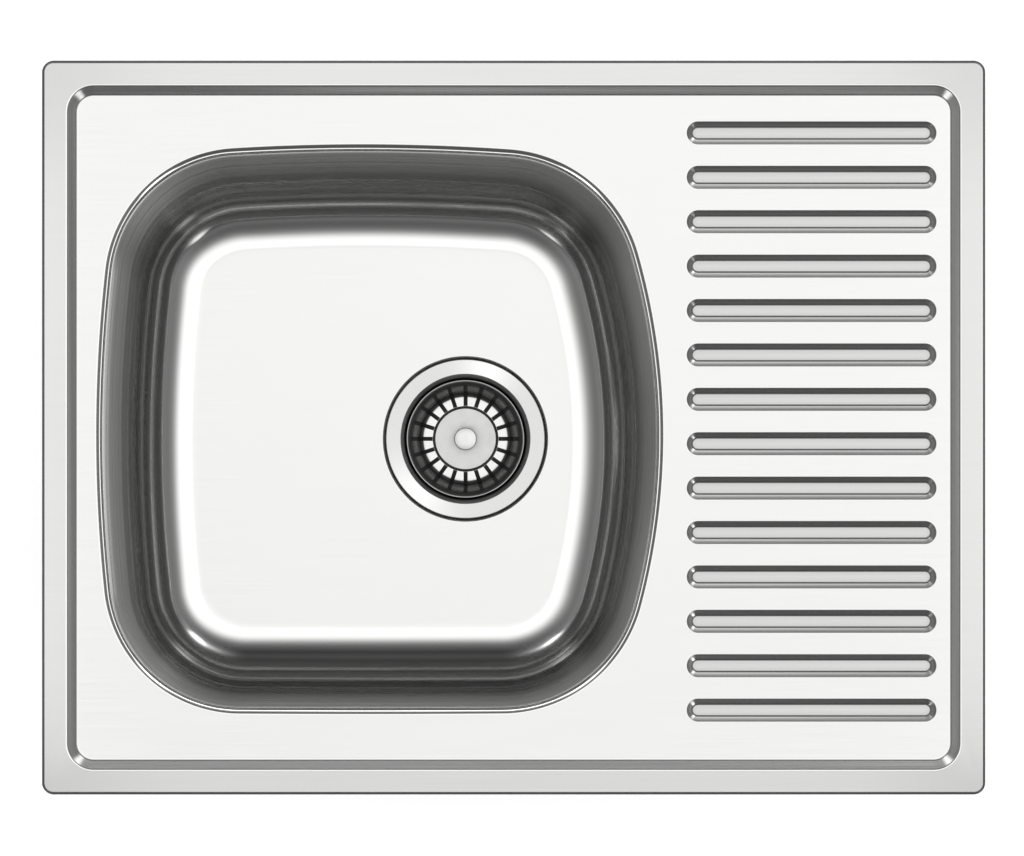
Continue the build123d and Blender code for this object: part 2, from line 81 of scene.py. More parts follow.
BOWL = {"left": -280.0, "right": 98.0, "front": -190.8, "back": 188.7}
BOWL_BOW = {"left": 17.0, "right": 40.0, "front": 1.0, "back": 9.0}
BOWL_LEFT_CORNER = 89.0
BOWL_RIGHT_CORNER = 94.0
BOWL_DRAW_IN = 20.6
BOWL_FOOT_SHIFT = (-1.2, -6.8)
BOWL_LIP = (3.8, 2.1)  # the gentler strip outside the mouth's bend: across, down
BOWL_LIP_BEND = 2.5
BOWL_STRIP = 6.0  # how far the walls' section runs out over the field
FLOOR_STRIP = 40.0  # and in over the floor
BOWL_EDGE = 6.5
BOWL_FOOT = 42.0
FLOOR_TOP = -161.0
WALL_PAINTED_STREAKS = [  # height, and the painted shade and painted highlight streaks on the steel there, standing in for reflections
    (-161, 1.0), (-156.5, 0.85), (-154.3, 1.5), (-152.5, 0.85), (-149.3, 0.4), (-147, 0.7), (-144.5, 1.7),
    (-142, 0.5), (-139.2, 0.8), (-137.5, 1.5), (-134, 0.5), (-128, 0.7), (-123, 1.1), (-117, 1.0),
    (-110, 0.5), (-100, 0.5), (-96, 0.75), (-91, 0.4), (-60, 0.38), (-56, 0.5), (-50, 0.34), (-12, 0.28),
    (-6.5, 0.9), (-3.2, 1.0), (-2.8, 1.35), (-2.0, 1.35), (-1.75, 0.5), (-1.3, 0.45), (-1.1, 1.0), (-1, 1.0),
]
UNDER_POLISH = 0.6  # the side that nobody polishes
WALL_DIM = 0.5  # painted shade: how much darker the walls' corners are painted
WALL_DIM_FROM = -150.0  # the height from which, and over how much more it comes in
WALL_DIM_OVER = 25.0
BOWL_MOUTH_LOW = -9.0  # the mouth above this height isn't darker
SHADED_CORNERS = [(40, 28, 1.0), (-40, 28, 1.0), (160, 14, 0.9), (190, 24, 0.45)]  # painted corner shade: facing, width, share
LEFT_WALL_HIGHLIGHT = (-30.0, -5.0, 1.05)  # painted highlight on the left wall's middle: from and to which height, and how bright
LEFT_WALL_HIGHLIGHT_WIDTH = 9.0
FRONT_FOOT_SHADE = (-154.3, 3.5, 0.78)  # height, half width and loss of the painted shade band in the foot of the front wall
FRONT_FOOT_SHADE_WIDTH = 27.0

GROOVES = 14
GROOVE_PITCH = 30.15
GROOVE_LENGTH = 169.8
GROOVE_WIDTH = 15.7
GROOVE_SLOPE = 4.1
GROOVE_DEPTH = 2.6
GROOVE_BEND = 1.0
GROOVE_FLOOR_BEND = 3.0
GROOVE_CROWN = 0.03
GROOVE_STRIP = 1.0  # how far its section runs out over the field
GROOVE_SPINE = 0.4  # how near its middle line the section ends
GROOVE_PAINTED_SHADE = [  # depth, and the painted shade and painted highlight lines on the steel there
    (0.0, 1.0), (0.1, 1.0), (0.25, 0.35), (0.7, 0.75), (1.2, 0.85), (1.8, 1.2), (2.1, 1.0), (2.25, 0.25),
    (2.45, 0.2), (2.56, 0.42), (2.6, 0.66), (2.63, 0.74),
]
GROOVE_CENTRE = (202.3, 4.1)

DRAIN = (-34.0, -8.0)
SEAT_RADIUS = 58.2
SEAT_DEPTH = 3.5
SEAT_SLOPE = 2.4
SEAT_BEND = 1.2
SEAT_STRIP = 2.0  # how far its section runs out over the floor
DRAIN_HOLE = 44.6

# ---- the waste, in (radius, height above the bowl's floor) ----
BRIM = [(56.4, -2.2), (56.4, -0.3), (45.8, -1.1), (43.2, -3.6)]
CUP = [(42.4, -23.0), (38.4, -27.0), (30.0, -27.0)]
CUP_OPENING = 29.0
HUB_RADIUS = 9.5
SPOKES = 6
SPOKE_WIDTH = 4.0
# painted shade and highlight on the flange: its brim with two painted highlight stretches, and painted shade
# in its cup by height
BRIM_PAINTED_SHADE = 0.77
BRIM_PAINTED_HIGHLIGHT = 0.23
BRIM_HIGHLIGHT_PLACES = [(72, 22), (228, 26)]  # facing, width
BRIM_FACE = (-1.3, 0.93)  # the least height, and how far its face looks up at least
CUP_PAINTED_SHADE = [(-27, 0.12), (-6, 0.12), (-3.4, 0.25), (-1.4, 0.5), (-0.8, 0.3)]
SCREW_PITCH = 0.8 * MM
SCREW_THREAD_DEPTH = 0.4 * MM
SCREW_HEAD_HEIGHT = 4.0 * MM
OUTLET_PITCH = 25.4 / 11 * MM
OUTLET_THREAD_DEPTH = 1.2 * MM
OUTLET_THREAD = 24.0 * MM
BASKET_RIM = [(41.6, -4.8), (41.6, -4.0), (40.9, -4.0)]
BASKET_WALL = [(38.2, -6.8), (31.9, -17.0), (29.8, -18.2), (23.4, -18.2), (20.0, -18.2)]
BASKET_PAINTED_SHADE = [  # radius, and the painted shade and painted highlight on the steel there
    (29.0, 1.0), (30.4, 0.16), (32.6, 0.12), (33.8, 1.0), (36.2, 0.8), (37.6, 0.2), (39.8, 0.12), (40.8, 0.6),
    (41.3, 0.6),
]
BASKET_SLOTS = 20
SLOT_WIDTH = 2.9
SLOT_START = 23.4
SLOT_END = 38.2
SLOT_SLACK = 1e-3
DISC = [(23.3, -18.2), (23.3, -17.8), (21.5, -16.0), (17.0, -16.0)]
DISC_PAINTED_SHADE = [(0.8, 0.2), (0.97, 0.3), (1.0, 0.82)]  # painted shade, darkest at the edge, by how far its face looks up
KNOB = [(3.6, -16.0), (3.6, -10.2), (8.0, -8.1), (8.0, -4.7)]
KNOB_TOP = -3.6
KNOB_SHOULDER = (7.6, 0.18)  # radius, and height above the flare's end
KNOB_DOME = (7.3, 0.02, 14)  # the dome's outer radius, its last angle, and the number of its loops


# ---- outlines: closed loops of points with their outward normals ----
def arc_points(centre, radius, start, end, count):
    """Points and outward normals along an arc, its last point left to the next stretch."""
    turn = np.linspace(start, end, count, endpoint=False)
    normal = np.stack([np.cos(turn), np.sin(turn)], 1)
    return np.asarray(centre) + radius * normal, normal


def joined(stretches):
    points, normals = zip(*stretches)
    return np.concatenate(points), np.concatenate(normals)


def rounded_rectangle(half_x, half_y, radius, per_corner=20, per_side=24):
    """A rounded rectangle, counter-clockwise from the start of its right-hand back corner."""
    stretches = []
    for quarter in range(4):
        start = quarter * math.pi / 2
        side_x = 1 if quarter in (0, 3) else -1
        side_y = 1 if quarter in (0, 1) else -1
        centre = np.array([side_x * (half_x - radius), side_y * (half_y - radius)])
        stretches.append(arc_points(centre, radius, start, start + math.pi / 2, per_corner))
        normal = np.array([math.cos(start + math.pi / 2), math.sin(start + math.pi / 2)])
        along = np.array([-normal[1], normal[0]])
        room = (half_x if quarter % 2 == 0 else half_y) - radius
        first = centre + radius * normal
        steps = np.linspace(0, 2 * room, per_side, endpoint=False)[:, None]
        stretches.append((first + steps * along, np.tile(normal, (per_side, 1))))
    return joined(stretches)


def circle(centre, radius, count):
    return arc_points(centre, radius, 0, 2 * math.pi, count)


def slot(centre, length, width, per_end=18, per_side=12):
    """A slot lying along X, counter-clockwise from the lower end of its right-hand round."""
    reach, radius = (length - width) / 2, width / 2
    cx, cy = centre
    quarter = math.pi / 2
    steps = np.linspace(reach, -reach, per_side, endpoint=False)
    back = np.stack([cx + steps, np.full(per_side, cy + radius)], 1)
    front = np.stack([cx - steps, np.full(per_side, cy - radius)], 1)
    up = np.tile([0.0, 1.0], (per_side, 1))
    return joined([
        arc_points((cx + reach, cy), radius, -quarter, quarter, per_end),
        (back, up),
        arc_points((cx - reach, cy), radius, quarter, 3 * quarter, per_end),
        (front, -up),
    ])


def bowl_outline(per_corner=44, per_side=46):
    """The bowl's mouth: four bowed sides with rounded corners, counter-clockwise."""
    left, right, front, back = (BOWL[side] for side in ("left", "right", "front", "back"))
    corner_left, corner_right = left + BOWL_BOW["left"], right - BOWL_BOW["right"]
    corner_front, corner_back = front + BOWL_BOW["front"], back - BOWL_BOW["back"]
    middle = ((corner_left + corner_right) / 2, (corner_front + corner_back) / 2)
    half = ((corner_right - corner_left) / 2, (corner_back - corner_front) / 2)

    def side_circle(name, chord):
        bow = BOWL_BOW[name]
        radius = (chord**2 + bow**2) / (2 * bow)
        centres = {
            "right": (right - radius, middle[1]),
            "left": (left + radius, middle[1]),
            "back": (middle[0], back - radius),
            "front": (middle[0], front + radius),
        }
        return np.array(centres[name]), radius

    circles = {name: side_circle(name, half[1] if name in ("left", "right") else half[0]) for name in BOWL}
    order = ["right", "back", "left", "front"]
    corners = []
    for index, name in enumerate(order):
        after = order[(index + 1) % 4]
        radius = BOWL_RIGHT_CORNER if "right" in (name, after) else BOWL_LEFT_CORNER
        near = np.array([
            corner_right if "right" in (name, after) else corner_left,
            corner_back if "back" in (name, after) else corner_front,
        ])
        (first, first_radius), (second, second_radius) = circles[name], circles[after]
        reach_one, reach_two = first_radius - radius, second_radius - radius
        gap = np.linalg.norm(second - first)
        ahead = (reach_one**2 - reach_two**2 + gap**2) / (2 * gap)
        aside = math.sqrt(reach_one**2 - ahead**2)
        along = (second - first) / gap
        across = np.array([-along[1], along[0]])
        options = [first + ahead * along + side * aside * across for side in (1, -1)]
        centre = min(options, key=lambda point: np.linalg.norm(point - near))
        start = math.atan2(*(centre - first)[::-1])
        end = math.atan2(*(centre - second)[::-1])
        corners.append((centre, radius, start, start + (end - start) % (2 * math.pi)))

    stretches = []
    for index, name in enumerate(order):
        centre, radius, start, end = corners[index]
        stretches.append(arc_points(centre, radius, start, end, per_corner))
        after = order[(index + 1) % 4]
        side_centre, side_radius = circles[after]
        next_start = corners[(index + 1) % 4][2]
        turn = (next_start - end + math.pi) % (2 * math.pi) - math.pi
        stretches.append(arc_points(side_centre, side_radius, end, end + turn, per_side))
    return joined(stretches)


# ---- sections: what the sheet's upper face does on its way inward ----
def rounded_section(corners, radii, steps):
    """Points (inward, up) along a bent line with their upper normals; numbers or arrays alike."""
    corners = [tuple(np.asarray(value, float) for value in corner) for corner in corners]
    directions = []
    for (x0, z0), (x1, z1) in zip(corners, corners[1:]):
        size = np.hypot(x1 - x0, z1 - z0)
        directions.append(((x1 - x0) / size, (z1 - z0) / size))
    samples = [(*corners[0], -directions[0][1], directions[0][0])]
    for index, radius in enumerate(radii):
        x, z = corners[index + 1]
        (ux, uz), (vx, vz) = directions[index], directions[index + 1]
        turn = np.arctan2(ux * vz - uz * vx, ux * vx + uz * vz)
        reach = radius * np.tan(np.abs(turn) / 2)
        side = np.sign(turn)
        start_x, start_z = x - ux * reach, z - uz * reach
        centre_x, centre_z = start_x - uz * radius * side, start_z + ux * radius * side
        count = steps[index]
        for step in range(count + 1):
            angle = turn * step / count
            normal_x = -uz * np.cos(angle) - ux * np.sin(angle)
            normal_z = ux * np.cos(angle) - uz * np.sin(angle)
            samples.append((
                centre_x - side * radius * normal_x,
                centre_z - side * radius * normal_z,
                normal_x,
                normal_z,
            ))
    last = directions[-1]
    samples.append((*corners[-1], -last[1], last[0]))
    return samples


def filled(samples, longest):
    """The same section with more points along its straight stretches."""
    kept = [samples[0]]
    for before, sample in zip(samples, samples[1:]):
        gap = np.max(np.hypot(sample[0] - before[0], sample[1] - before[1]))
        count = int(gap // longest)
        for step in range(1, count + 1):
            share = step / (count + 1)
            kept.append(tuple(one + (two - one) * share for one, two in zip(before, sample)))
        kept.append(sample)
    return kept


def level_at(value, table):
    """The level that a table of (place, level) pairs has at a place."""
    return np.interp(value, *zip(*table))


def soft_peak(turn, middle, width):
    """A soft rise round one angle; the middle and the width are in degrees."""
    off = (turn - math.radians(middle) + math.pi) % (2 * math.pi) - math.pi
    return np.exp(-((off / math.radians(width)) ** 2))


def inside(point, polygon):
    """Whether a point lies in a closed polygon."""
    x, y = point
    ahead = np.roll(polygon, -1, 0)
    crosses = (polygon[:, 1] > y) != (ahead[:, 1] > y)
    rise = np.where(crosses, ahead[:, 1] - polygon[:, 1], 1.0)
    where = polygon[:, 0] + (y - polygon[:, 1]) * (ahead[:, 0] - polygon[:, 0]) / rise
    return bool(np.count_nonzero(crosses & (x < where)) % 2)


class Sheet:
    """A sheet of even thickness, kept as its upper face: points, their normals, and faces."""

    def __init__(self, thickness):
        self.thickness = thickness
        self.points, self.normals, self.shades = [], [], []
        self.faces, self.rims = [], []
        self.shade = 1.0
        self.count = 0

    def add(self, points, normals):
        self.points.append(points)
        self.normals.append(normals)
        self.shades.append(np.broadcast_to(self.shade, len(points)))
        first = self.count
        self.count += len(points)
        return np.arange(first, self.count)

    def ring(self, outline, inward, height, normal_in, normal_up, slide=0.0):
        """One loop: an outline moved inward, at a height, with normals given in its section."""
        base, outward = outline
        size = len(base)
        inward = np.broadcast_to(inward, size)[:, None]
        flat = base - outward * inward + slide
        height = np.broadcast_to(height, size)[:, None]
        normal_in = np.broadcast_to(normal_in, size)[:, None]
        normal_up = np.broadcast_to(normal_up, size)[:, None]
        return self.add(
            np.concatenate([flat, height], 1),
            np.concatenate([-outward * normal_in, normal_up], 1),
        )

    def rings(self, outline, samples, slide=None, shade=None):
        """A band of loops that follow a section; slide moves a loop sideways by its height."""
        loops = []
        for inward, height, normal_in, normal_up in samples:
            shift = 0.0 if slide is None else slide(height)
            self.shade = 1.0 if shade is None else shade(height, normal_up)
            loops.append(self.ring(outline, inward, height, normal_in, normal_up, shift))
        self.shade = 1.0
        for outer, inner in zip(loops, loops[1:]):
            self.bridge(outer, inner)
        return loops

    def bridge(self, outer, inner):
        following = np.roll(np.arange(len(outer)), -1)
        quads = np.stack([outer, outer[following], inner[following], inner], 1)
        self.faces.extend(quads.tolist())

    def flat_fill(self, outside, holes):
        """Level triangles between one loop of points and the loops of points inside it."""
        loops = [outside] + holes
        everything = np.concatenate(self.points)
        indices = np.concatenate(loops)
        flat = [Vector(everything[i][:2]) for i in indices]
        edges, first = [], 0
        for loop in loops:
            size = len(loop)
            edges += [(first + i, first + (i + 1) % size) for i in range(size)]
            first += size
        found = delaunay_2d_cdt(flat, edges, [], 0, SAME_POINT)
        vertices, triangles, origins = found[0], found[2], found[3]
        polygons = [everything[loop][:, :2] for loop in loops]
        for triangle in triangles:
            middle = sum((vertices[i] for i in triangle), Vector((0, 0))) / 3
            if not inside(middle, polygons[0]) or any(inside(middle, hole) for hole in polygons[1:]):
                continue
            self.faces.append([int(indices[origins[i][0]]) for i in triangle])

    def rim(self, loop, outward):
        """A loop where the sheet ends, to be closed across its thickness."""
        self.rims.append((loop, outward))

    def build(self, name, material, body):
        top = np.concatenate(self.points)
        normals = np.concatenate(self.normals)
        under = top - self.thickness * normals
        offset = len(top)
        faces = list(self.faces)
        faces += [[i + offset for i in reversed(face)] for face in self.faces]
        edge_faces = []
        for loop, outward in self.rims:
            following = np.roll(loop, -1)
            quads = np.stack([loop, loop + offset, following + offset, following], 1)
            if not outward:
                quads = quads[:, ::-1]
            edge_faces += quads.tolist()
        mesh = bpy.data.meshes.new(name)
        mesh.from_pydata((np.concatenate([top, under]) * MM).tolist(), [], faces + edge_faces)
        mesh.polygons.foreach_set("use_smooth", [True] * len(faces) + [False] * len(edge_faces))
        loop_normals = np.concatenate([normals, -normals])
        per_corner = np.empty(len(mesh.loops), int)
        mesh.loops.foreach_get("vertex_index", per_corner)
        custom = loop_normals[per_corner]
        first_edge_corner = sum(len(face) for face in faces)
        for index in range(len(faces), len(faces) + len(edge_faces)):
            custom[first_edge_corner:first_edge_corner + 4] = mesh.polygons[index].normal
            first_edge_corner += 4
        mesh.normals_split_custom_set(custom.tolist())
        shade = mesh.attributes.new("shade", "FLOAT", "POINT")
        upper = np.concatenate(self.shades)
        under_shades = np.full(len(upper), UNDER_POLISH)
        shade.data.foreach_set("value", np.concatenate([upper, under_shades]))
        return finished(name, mesh, material, body)


def finished(name, mesh, material, body):
    """Put a mesh into the scene as a piece of a body."""
    piece = bpy.data.objects.new(name, mesh)
    bpy.context.scene.collection.objects.link(piece)
    mesh.materials.append(material)
    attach(piece, body)
    return piece


# ---- materials ----
EVEN = (1.0, 1.0, 1.0)  # a grain that isn't drawn out
STEEL_LIGHT = (1.0, 1.0, 0.992)  # the two colours of the grain, as shares of its tone
STEEL_DARK = (0.94, 0.94, 0.93)
WAVE_DEPTH = 0.00006
DRAWN_LEVEL = (1.0, 1.0, 70.0)  # marks that run level round the walls


class Graph:
    """The nodes of a material or of the world, and short ways to add what repeats."""

    def __init__(self, tree):
        self.nodes, self.links = tree.nodes, tree.links

    def feed(self, value, socket):
        """Give a socket another node's result, or a value."""
        if isinstance(value, bpy.types.NodeSocket):
            self.links.new(value, socket)
        else:
            socket.default_value = value

    def maths(self, operation, one, two=0.0):
        """The result of an operation on two values, each a socket or a number."""
        node = self.nodes.new("ShaderNodeMath")
        node.operation = operation
        for value, socket in zip((one, two), node.inputs):
            self.feed(value, socket)
        return node.outputs[0]

    def axes(self, vector):
        """The three parts of a vector."""
        parts = self.nodes.new("ShaderNodeSeparateXYZ")
        self.feed(vector, parts.inputs["Vector"])
        return [parts.outputs[axis] for axis in "XYZ"]

    def place(self, space):
        """Where a point is, in one of the spaces that there are."""
        return self.nodes.new("ShaderNodeTexCoord").outputs[space]

    def noise(self, stretch, scale, detail=4.0, roughness=0.6):
        """Noise in the object's own space, drawn out along the axes whose stretch is small."""
        mapping = self.nodes.new("ShaderNodeMapping")
        self.feed(stretch, mapping.inputs["Scale"])
        self.feed(self.place("Object"), mapping.inputs["Vector"])
        noise = self.nodes.new("ShaderNodeTexNoise")
        self.feed(mapping.outputs["Vector"], noise.inputs["Vector"])
        for name, value in (("Scale", scale), ("Detail", detail), ("Roughness", roughness)):
            self.feed(value, noise.inputs[name])
        return noise.outputs["Fac"]

    def ranged(self, value, low, high, from_low=0.3, from_high=0.7):
        """A value spread from one range to another."""
        spread = self.nodes.new("ShaderNodeMapRange")
        inputs = {"Value": value, "From Min": from_low, "From Max": from_high, "To Min": low, "To Max": high}
        for name, number in inputs.items():
            self.feed(number, spread.inputs[name])
        return spread.outputs["Result"]

    def mixed(self, factor, one, two):
        """A colour between two, each a socket or three numbers."""
        mix = self.nodes.new("ShaderNodeMix")
        mix.data_type = "RGBA"
        self.feed(factor, mix.inputs["Factor"])
        for colour, name in ((one, "A"), (two, "B")):
            self.feed((*colour, 1) if isinstance(colour, tuple) else colour, mix.inputs[name])
        return mix.outputs["Result"]

    def bump(self, height, distance, under=None):
        """The normal of a relief, on top of another relief where one is given."""
        node = self.nodes.new("ShaderNodeBump")
        self.feed(distance, node.inputs["Distance"])
        self.feed(height, node.inputs["Height"])
        if under is not None:
            self.feed(under, node.inputs["Normal"])
        return node.outputs["Normal"]

    def ramp(self, value, levels):
        """Grey levels at angles from overhead, over a right angle."""
        ramp = self.nodes.new("ShaderNodeValToRGB")
        stops = ramp.color_ramp
        for angle, level in levels[1:-1]:
            stops.elements.new(angle / 90).color = (level, level, level, 1)
        for element, (angle, level) in zip((stops.elements[0], stops.elements[-1]), (levels[0], levels[-1])):
            element.position = angle / 90
            element.color = (level, level, level, 1)
        self.feed(value, ramp.inputs["Fac"])
        return ramp.outputs["Color"]


def new_material(name):
    material = bpy.data.materials.new(name)
    material.use_nodes = True
    graph = Graph(material.node_tree)
    return material, graph, graph.nodes["Principled BSDF"]


def brushed_steel(name, tone, rough, grain=(1.0, 60.0, 60.0), grain_scale=9.0, grain_depth=0.000006,
                  shaded=False, dulling=0.4, draw_depth=0.0):
    """Steel with a fine drawn-out grain and the slow waviness of a pressing."""
    material, graph, shader = new_material(name)
    fine = graph.noise(grain, grain_scale, detail=6.0, roughness=0.7)
    broad = graph.noise(EVEN, 7.0, detail=2.0)
    dark, light = (tuple(tone * share for share in shares) for shares in (STEEL_DARK, STEEL_LIGHT))
    colour = graph.mixed(fine, dark, light)
    roughness = graph.ranged(fine, *rough)
    if shaded:
        # painted shade and highlight: the shade attribute scales the colour, and where it darkens, the steel
        # is also made rougher
        shade = graph.nodes.new("ShaderNodeAttribute")
        shade.attribute_name = "shade"
        tint = graph.nodes.new("ShaderNodeVectorMath")
        tint.operation = "SCALE"
        graph.feed(colour, tint.inputs[0])
        graph.feed(shade.outputs["Fac"], tint.inputs["Scale"])
        colour = tint.outputs["Vector"]
        left_over = graph.maths("SUBTRACT", 1.0, shade.outputs["Fac"])
        roughness = graph.maths("ADD", roughness, graph.maths("MULTIPLY", left_over, dulling))
    relief = graph.bump(broad, WAVE_DEPTH)
    if draw_depth:
        level = graph.noise(DRAWN_LEVEL, 1.6, detail=1.0, roughness=0.4)
        relief = graph.bump(level, draw_depth, under=relief)
    relief = graph.bump(fine, grain_depth, under=relief)
    inputs = {"Base Color": colour, "Roughness": roughness, "Normal": relief, "Metallic": 1.0}
    for socket, value in inputs.items():
        graph.feed(value, shader.inputs[socket])
    return material


def dull(name, one, two, rough, metallic=0.0, scale=120.0, depth=0.00005):
    """A plain surface with mottled colour and a little texture."""
    material, graph, shader = new_material(name)
    grain = graph.noise(EVEN, scale)
    inputs = {
        "Base Color": graph.mixed(grain, one, two),
        "Roughness": graph.ranged(grain, *rough),
        "Normal": graph.bump(grain, depth),
        "Metallic": metallic,
    }
    for socket, value in inputs.items():
        graph.feed(value, shader.inputs[socket])
    return material


def threaded(base, name, node, pitch, depth, low, high):
    """A copy of a material with a right-hand thread cut round a node's middle, between two heights."""
    material = base.copy()
    material.name = name
    graph = Graph(material.node_tree)
    maths = graph.maths
    corners = np.array(node.bound_box)
    middle = (corners.min(0) + corners.max(0)) / 2
    x, y, z = graph.axes(graph.place("Object"))
    side = maths("SUBTRACT", x, float(middle[0]))
    ahead = maths("SUBTRACT", y, float(middle[1]))
    turn = maths("DIVIDE", maths("ARCTAN2", ahead, side), -2 * math.pi)
    crest = maths("PINGPONG", maths("ADD", maths("DIVIDE", z, pitch), turn), 0.5)
    cut = maths("MULTIPLY", maths("GREATER_THAN", z, low), maths("LESS_THAN", z, high))
    normal = graph.nodes["Principled BSDF"].inputs["Normal"]
    relief = graph.bump(maths("MULTIPLY", crest, cut), 2 * depth, under=normal.links[0].from_socket)
    graph.feed(relief, normal)
    return material


SHEET_STEEL = brushed_steel(
    "sheet_steel", 0.72, (0.12, 0.17), grain=(1.0, 90.0, 90.0), grain_scale=12.0,
    shaded=True, dulling=0.26, draw_depth=0.0006,
)
WASTE_STEEL = brushed_steel("waste_steel", 0.72, (0.13, 0.20), grain=EVEN, grain_scale=160.0, shaded=True)
DISC_STEEL = brushed_steel("disc_steel", 0.72, (0.30, 0.40), grain=EVEN, grain_scale=160.0, shaded=True)
KNOB_STEEL = brushed_steel("knob_steel", 0.63, (0.26, 0.32), grain_depth=0.000001)
ZINC = brushed_steel("zinc", 0.52, (0.3, 0.42), grain=EVEN, grain_scale=300.0)
SCREW_STEEL = brushed_steel("screw_steel", 0.50, (0.25, 0.35), grain_scale=80.0)
BRASS = dull("brass", (0.70, 0.50, 0.22), (0.80, 0.60, 0.30), (0.25, 0.4), metallic=1.0)
FOAM = dull("foam", (0.010, 0.010, 0.010), (0.03, 0.03, 0.03), (0.8, 0.95), scale=900.0, depth=0.0003)
BITUMEN = dull("bitumen", (0.016, 0.016, 0.018), (0.035, 0.035, 0.038), (0.6, 0.8), scale=260.0)
RUBBER = dull("rubber", (0.008, 0.008, 0.008), (0.016, 0.016, 0.016), (0.4, 0.5), scale=200.0)
WHITE_PLASTIC = dull("white_plastic", (0.66, 0.66, 0.64), (0.72, 0.72, 0.70), (0.35, 0.45), scale=60.0)
GREY_PLASTIC = dull("grey_plastic", (0.06, 0.06, 0.065), (0.09, 0.09, 0.095), (0.4, 0.5), scale=90.0)


# ---- the sink ----
def rim_painted_shade(points):
    """Painted shade round the rim's outline: darker overall, and a little more in front and at the corners.
    """
    corner = np.array([HALF_LENGTH, HALF_WIDTH])
    off = np.linalg.norm(np.abs(points) - corner, axis=1)
    front = np.clip((-points[:, 1] - HALF_WIDTH + 2 * RAMP_INSET) / RAMP_INSET, 0, 1)
    near = np.exp(-((off / RIM_SHADE_REACH) ** 2))
    return RIM_PAINTED_SHADE["sides"] * (1 - RIM_PAINTED_SHADE["front"] * front) * (1 - RIM_PAINTED_SHADE["corner"] * near)


def add_rim(sheet):
    """The turned edge and the outer strip of the rim."""
    outline = rounded_rectangle(HALF_LENGTH, HALF_WIDTH, RIM_CORNER)
    # painted shade on the rim, darker in front and at the corners
    tone = rim_painted_shade(outline[0])
    section = rounded_section([(0, 0), (0, RIM_TOP), (RIM_BAND, RIM_TOP)], radii=[RIM_EDGE], steps=[8])
    # painted dark reflection on the turned edge, darker where it looks sideways
    loops = sheet.rings(outline, section, shade=lambda z, up: level_at(up, RIM_EDGE_PAINTED_SHADE) * tone)
    sheet.rim(loops[0], True)
    return loops


def add_ramp(sheet):
    """The step from the rim down to the field."""
    outline = rounded_rectangle(HALF_LENGTH - RAMP_INSET, HALF_WIDTH - RAMP_INSET, RAMP_CORNER)
    # the rim's painted shade, darker in front and at the corners, for the ramp's top
    tone = rim_painted_shade(outline[0])
    section = rounded_section(
        [
            (-RAMP_STRIP, RIM_TOP),
            (RAMP_REACH, RIM_TOP),
            (RAMP_WIDTH - RAMP_REACH, FIELD_TOP),
            (RAMP_WIDTH + RAMP_STRIP, FIELD_TOP),
        ],
        radii=[RAMP_BEND, RAMP_BEND],
        steps=[8, 8],
    )

    # painted shade lines along the ramp's bends, and the rim's painted shade on its top
    def painted_shade(z, up):
        return level_at(z, RAMP_PAINTED_SHADE) * (tone if z > RIM_TOP - RIM_SLACK else 1.0)

    return sheet.rings(outline, section, shade=painted_shade)


def add_bowl(sheet):
    """The bowl's mouth, its walls, which lean by a different amount on each side, and its foot."""
    outline = bowl_outline()
    normals = outline[1]
    shift = np.array(BOWL_FOOT_SHIFT)
    out_shift = normals @ shift
    lean = BOWL_DRAW_IN - out_shift
    sideways = shift - out_shift[:, None] * normals
    depth = FIELD_TOP - FLOOR_TOP
    section = rounded_section(
        [
            (-BOWL_STRIP, FIELD_TOP),
            (-BOWL_LIP[0], FIELD_TOP),
            (lean * BOWL_LIP[1] / depth, FIELD_TOP - BOWL_LIP[1]),
            (lean, FLOOR_TOP),
            (lean + FLOOR_STRIP, FLOOR_TOP),
        ],
        radii=[BOWL_LIP_BEND, BOWL_EDGE, BOWL_FOOT],
        steps=[6, 10, 36],
    )
    facing = np.arctan2(normals[:, 1], normals[:, 0])
    corner_shade = sum(share * soft_peak(facing, middle, width) for middle, width, share in SHADED_CORNERS)
    left_middle = soft_peak(facing, 180, LEFT_WALL_HIGHLIGHT_WIDTH)
    front_middle = soft_peak(facing, -90, FRONT_FOOT_SHADE_WIDTH)

    # painted streaks of shade and highlight on the walls, painted shade in the corners and in the front foot,
    # and a painted highlight on the left wall
    def painted_shade(z, up):
        high = np.clip((z - WALL_DIM_FROM) / WALL_DIM_OVER, 0, 1) * (z < BOWL_MOUTH_LOW)
        level = level_at(np.mean(z), WALL_PAINTED_STREAKS) * (1 - WALL_DIM * corner_shade * high)
        middle, half, loss = FRONT_FOOT_SHADE
        level = level * (1 - loss * front_middle * np.clip(1.5 - np.abs(z - middle) / half, 0, 1))
        low, top, bright = LEFT_WALL_HIGHLIGHT
        left_highlight = left_middle * np.clip((z - low) / (top - low), 0, 1) * (z < top)
        return level + (bright - level) * left_highlight

    def slide(z):
        return sideways * np.clip((FIELD_TOP - z) / depth, 0, 1)[..., None]

    return sheet.rings(outline, filled(section, longest=3.0), slide=slide, shade=painted_shade)


def add_seat(sheet, floor_loop):
    """The recess of the waste, its points in line with the loop round it."""
    spokes = np.concatenate(sheet.points)[floor_loop][:, :2] - np.array(DRAIN)
    spokes /= np.linalg.norm(spokes, axis=1)[:, None]
    outline = (np.array(DRAIN) + SEAT_RADIUS * spokes, spokes)
    section = rounded_section(
        [
            (-SEAT_STRIP, FLOOR_TOP),
            (0, FLOOR_TOP),
            (SEAT_SLOPE, FLOOR_TOP - SEAT_DEPTH),
            (SEAT_RADIUS - DRAIN_HOLE, FLOOR_TOP - SEAT_DEPTH),
        ],
        radii=[SEAT_BEND, SEAT_BEND],
        steps=[5, 5],
    )
    loops = sheet.rings(outline, section)
    sheet.rim(loops[-1], False)
    return loops


